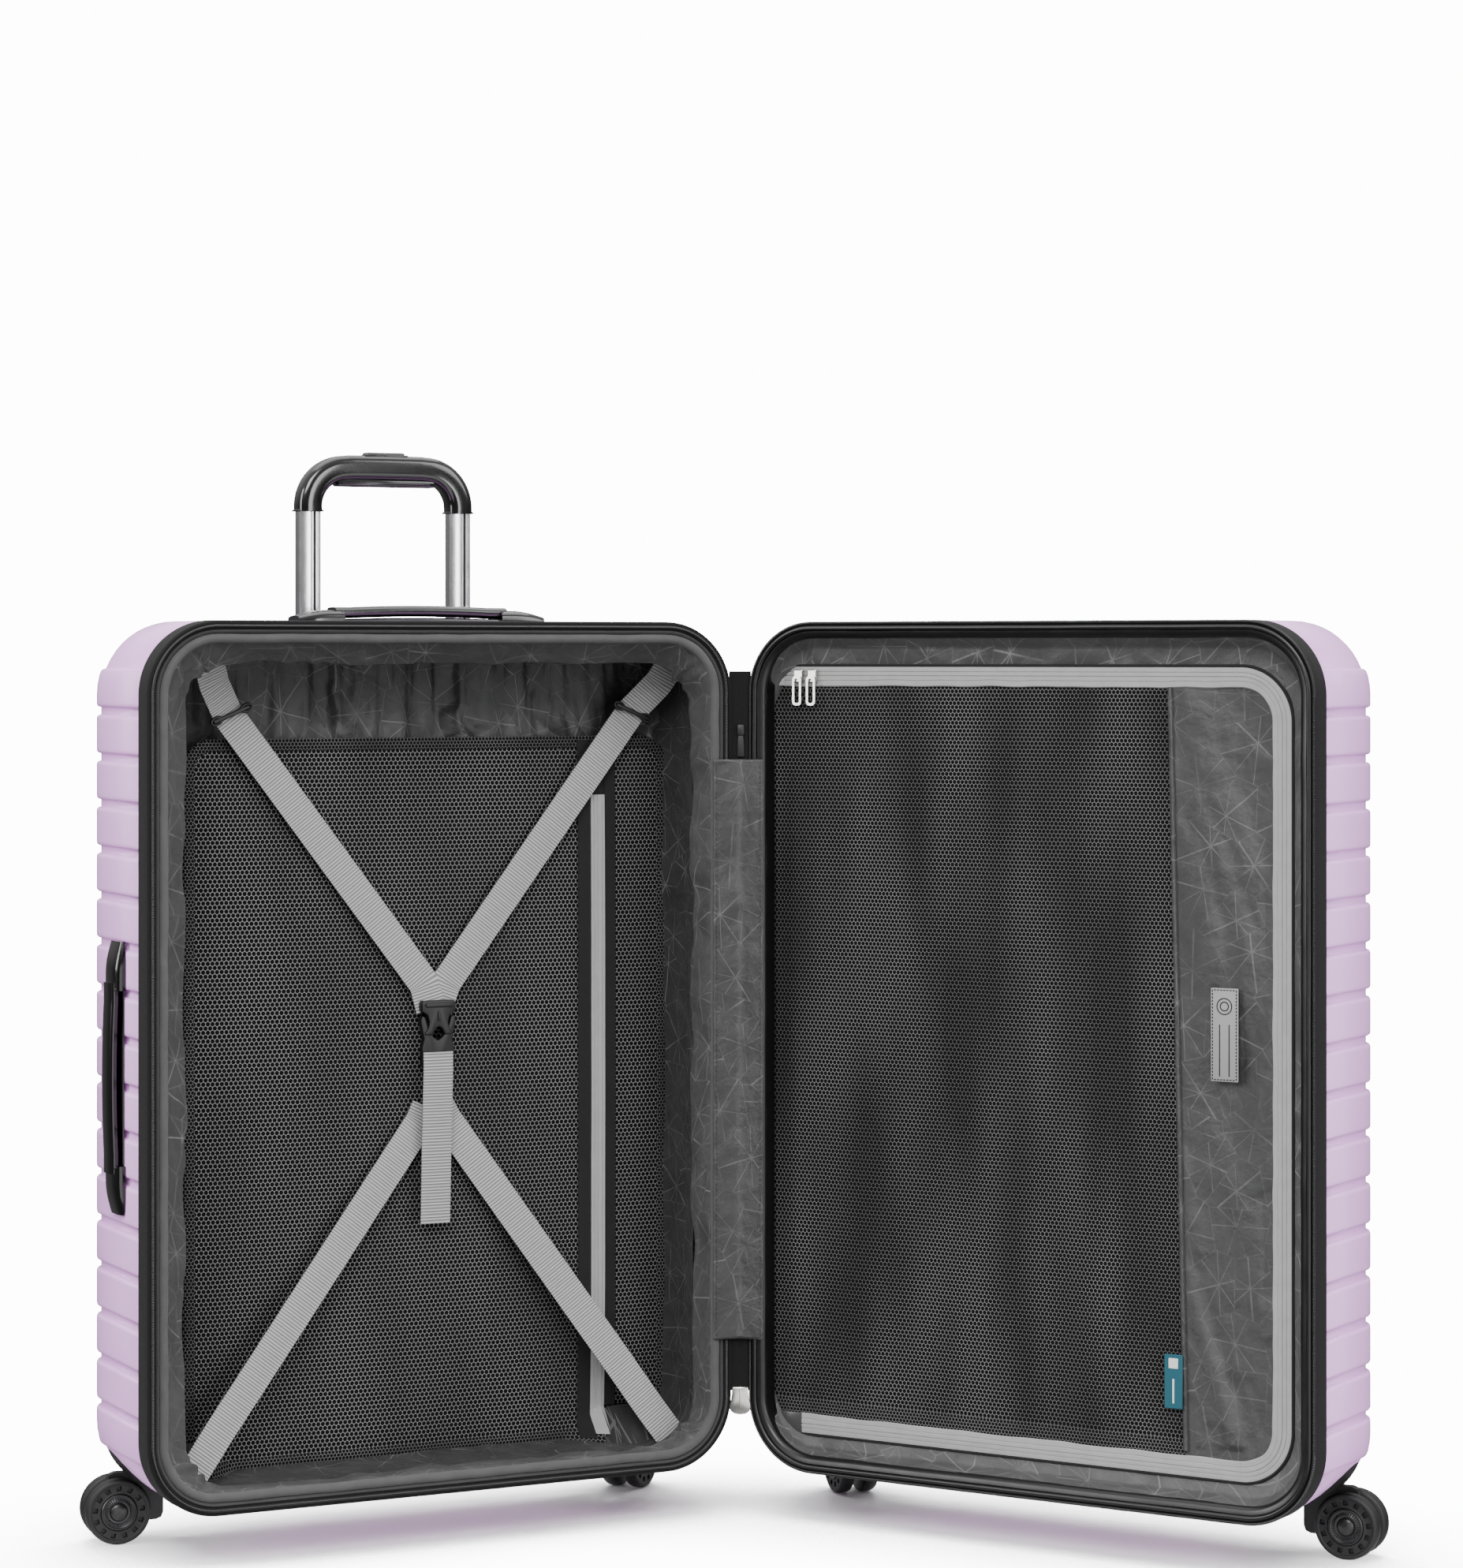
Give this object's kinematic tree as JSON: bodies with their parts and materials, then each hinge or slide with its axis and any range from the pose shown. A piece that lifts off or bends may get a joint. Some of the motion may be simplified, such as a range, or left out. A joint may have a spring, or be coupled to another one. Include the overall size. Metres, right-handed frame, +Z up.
{
  "type": "hard shell suitcase on wheels",
  "caption": "Ribbed hard-shell suitcase standing open on swivel casters, with a telescopic handle, crossed packing straps, a zipped divider and carry handles.",
  "frame": {"origin": "on the floor at the foot of the vertical lid hinge axis", "axes": "+Z up; the rear half runs along -X from the hinge, with its opening facing -Y and its back at +Y; the lid stands open at 122 degrees, towards +X and -Y"},
  "size_m": [0.9024, 0.6044, 0.869],
  "materials": {
    "shell": "satin vacuum-formed ABS and polycarbonate, pale lilac",
    "gloss_black": "injection-moulded, polished",
    "matt_black": "injection-moulded, fine texture",
    "zip_tape": "woven polyester tape with coil teeth",
    "lining_cloth": "satin polyester with a woven line pattern",
    "mesh_cloth": "knitted mesh",
    "grey_zip": "woven polyester tape",
    "webbing": "woven polyester webbing",
    "tube_aluminium": "polished and anodised, drawn",
    "zinc_puller": "nickel-plated zinc",
    "axle_steel": "turned",
    "wheel_tread": "cast polyurethane on a moulded hub"
  },
  "bodies": {
    "rear_half": {"rear_shell": "shell", "rear_rim_band": "gloss_black", "rear_zip_tape": "zip_tape", "rear_lining": "lining_cloth", "floor_mesh_panel": "mesh_cloth", "floor_panel_zip": "grey_zip", "handle_bezel": "gloss_black", "outer_tube_left": "tube_aluminium", "outer_tube_right": "tube_aluminium", "tube_foot_bracket": "matt_black", "top_handle_base": "matt_black", "side_handle_base": "matt_black", "strap_upper_outer": "webbing", "strap_upper_hinge": "webbing", "strap_lower_outer": "webbing", "strap_lower_hinge": "webbing", "buckle_socket": "matt_black", "buckle_plug": "matt_black", "strap_tail": "webbing", "hinge_flap_rear": "lining_cloth", "zip_end_clip": "zinc_puller", "caster_rear_outer_housing": "matt_black", "caster_rear_hinge_housing": "matt_black"},
    "lid": {"lid_shell": "shell", "lid_rim_band": "gloss_black", "lid_zip_tape": "zip_tape", "lid_lining": "lining_cloth", "divider_panel": "mesh_cloth", "divider_zip": "grey_zip", "hinge_flap_lid": "lining_cloth", "caster_lid_hinge_housing": "matt_black", "caster_lid_outer_housing": "matt_black"},
    "handle_middle": {"middle_tube_left": "tube_aluminium", "middle_tube_right": "tube_aluminium"},
    "handle_upper": {"upper_tube_left": "tube_aluminium", "upper_tube_right": "tube_aluminium", "telescopic_grip": "gloss_black"},
    "button": {"release_button": "matt_black"},
    "top_handle": {"top_handle_grip": "gloss_black"},
    "side_handle": {"side_handle_grip": "gloss_black"},
    "puller_a": {"zip_slider_a": "zinc_puller"},
    "puller_b": {"zip_slider_b": "zinc_puller"},
    "tab_a": {"puller_tab_a": "zinc_puller"},
    "tab_b": {"puller_tab_b": "zinc_puller"},
    "fork_rear_outer": {"caster_rear_outer_fork": "matt_black", "caster_rear_outer_axle": "axle_steel"},
    "wheel_a_rear_outer": {"caster_rear_outer_wheel_a": "wheel_tread"},
    "wheel_b_rear_outer": {"caster_rear_outer_wheel_b": "wheel_tread"},
    "fork_rear_hinge": {"caster_rear_hinge_fork": "matt_black", "caster_rear_hinge_axle": "axle_steel"},
    "wheel_a_rear_hinge": {"caster_rear_hinge_wheel_a": "wheel_tread"},
    "wheel_b_rear_hinge": {"caster_rear_hinge_wheel_b": "wheel_tread"},
    "fork_lid_hinge": {"caster_lid_hinge_fork": "matt_black", "caster_lid_hinge_axle": "axle_steel"},
    "wheel_a_lid_hinge": {"caster_lid_hinge_wheel_a": "wheel_tread"},
    "wheel_b_lid_hinge": {"caster_lid_hinge_wheel_b": "wheel_tread"},
    "fork_lid_outer": {"caster_lid_outer_fork": "matt_black", "caster_lid_outer_axle": "axle_steel"},
    "wheel_a_lid_outer": {"caster_lid_outer_wheel_a": "wheel_tread"},
    "wheel_b_lid_outer": {"caster_lid_outer_wheel_b": "wheel_tread"}
  },
  "joints": [
    {"name": "lid_hinge", "type": "hinge", "parent": "rear_half", "child": "lid", "pos_m": [0, 0, 0.385], "axis": [0, 0, 1], "range_deg": [-122, 58]},
    {"name": "handle_middle_slide", "type": "slide", "parent": "rear_half", "child": "handle_middle", "axis": [0, 0, 1], "range_m": [0, 0.15]},
    {"name": "handle_upper_slide", "type": "slide", "parent": "handle_middle", "child": "handle_upper", "axis": [0, 0, 1], "range_m": [-0.083, 0.1]},
    {"name": "button_press", "type": "slide", "parent": "handle_upper", "child": "button", "axis": [0, 0, 1], "range_m": [-0.003, 0], "stiffness_N_per_m": 400},
    {"name": "top_handle_lift", "type": "slide", "parent": "rear_half", "child": "top_handle", "axis": [0, 0, 1], "range_m": [0, 0.012], "stiffness_N_per_m": 250},
    {"name": "side_handle_lift", "type": "slide", "parent": "rear_half", "child": "side_handle", "axis": [-1, 0, 0], "range_m": [0, 0.012], "stiffness_N_per_m": 250},
    {"name": "puller_a_slide", "type": "slide", "parent": "lid", "child": "puller_a", "axis": [0.5299, -0.848, 0], "range_m": [0, 0.35]},
    {"name": "puller_b_slide", "type": "slide", "parent": "lid", "child": "puller_b", "axis": [0.5299, -0.848, 0], "range_m": [0, 0.35]},
    {"name": "tab_a_swing", "type": "hinge", "parent": "puller_a", "child": "tab_a", "pos_m": [0.03873, -0.0265, 0.686], "axis": [-0.5299, 0.848, 0], "range_deg": [0, 150]},
    {"name": "tab_b_swing", "type": "hinge", "parent": "puller_b", "child": "tab_b", "pos_m": [0.04562, -0.03753, 0.686], "axis": [-0.5299, 0.848, 0], "range_deg": [0, 150]},
    {"name": "swivel_rear_outer", "type": "hinge", "parent": "rear_half", "child": "fork_rear_outer", "pos_m": [-0.46, 0.129, 0.055], "axis": [0, 0, 1], "continuous": true},
    {"name": "wheel_a_rear_outer_spin", "type": "hinge", "parent": "fork_rear_outer", "child": "wheel_a_rear_outer", "pos_m": [-0.48878, 0.13253, 0.026], "axis": [-0.1219, -0.9925, 0], "continuous": true},
    {"name": "wheel_b_rear_outer_spin", "type": "hinge", "parent": "fork_rear_outer", "child": "wheel_b_rear_outer", "pos_m": [-0.48878, 0.13253, 0.026], "axis": [-0.1219, -0.9925, 0], "continuous": true},
    {"name": "swivel_rear_hinge", "type": "hinge", "parent": "rear_half", "child": "fork_rear_hinge", "pos_m": [-0.053, 0.129, 0.055], "axis": [0, 0, 1], "continuous": true},
    {"name": "wheel_a_rear_hinge_spin", "type": "hinge", "parent": "fork_rear_hinge", "child": "wheel_a_rear_hinge", "pos_m": [-0.03078, 0.14764, 0.026], "axis": [-0.6428, 0.766, 0], "continuous": true},
    {"name": "wheel_b_rear_hinge_spin", "type": "hinge", "parent": "fork_rear_hinge", "child": "wheel_b_rear_hinge", "pos_m": [-0.03078, 0.14764, 0.026], "axis": [-0.6428, 0.766, 0], "continuous": true},
    {"name": "swivel_lid_hinge", "type": "hinge", "parent": "lid", "child": "fork_lid_hinge", "pos_m": [0.12222, 0.01387, 0.055], "axis": [0, 0, 1], "continuous": true},
    {"name": "wheel_a_lid_hinge_spin", "type": "hinge", "parent": "fork_lid_hinge", "child": "wheel_a_lid_hinge", "pos_m": [0.12626, 0.04259, 0.026], "axis": [-0.9903, 0.1392, 0], "continuous": true},
    {"name": "wheel_b_lid_hinge_spin", "type": "hinge", "parent": "fork_lid_hinge", "child": "wheel_b_lid_hinge", "pos_m": [0.12626, 0.04259, 0.026], "axis": [-0.9903, 0.1392, 0], "continuous": true},
    {"name": "swivel_lid_outer", "type": "hinge", "parent": "lid", "child": "fork_lid_outer", "pos_m": [0.3379, -0.33128, 0.055], "axis": [0, 0, 1], "continuous": true},
    {"name": "wheel_a_lid_outer_spin", "type": "hinge", "parent": "fork_lid_outer", "child": "wheel_a_lid_outer", "pos_m": [0.35535, -0.35444, 0.026], "axis": [0.7986, 0.6018, 0], "continuous": true},
    {"name": "wheel_b_lid_outer_spin", "type": "hinge", "parent": "fork_lid_outer", "child": "wheel_b_lid_outer", "pos_m": [0.35535, -0.35444, 0.026], "axis": [0.7986, 0.6018, 0], "continuous": true}
  ],
  "couplings": [
    {"joint": "puller_b_slide", "follows": "puller_a_slide", "ratio": 1}
  ]
}
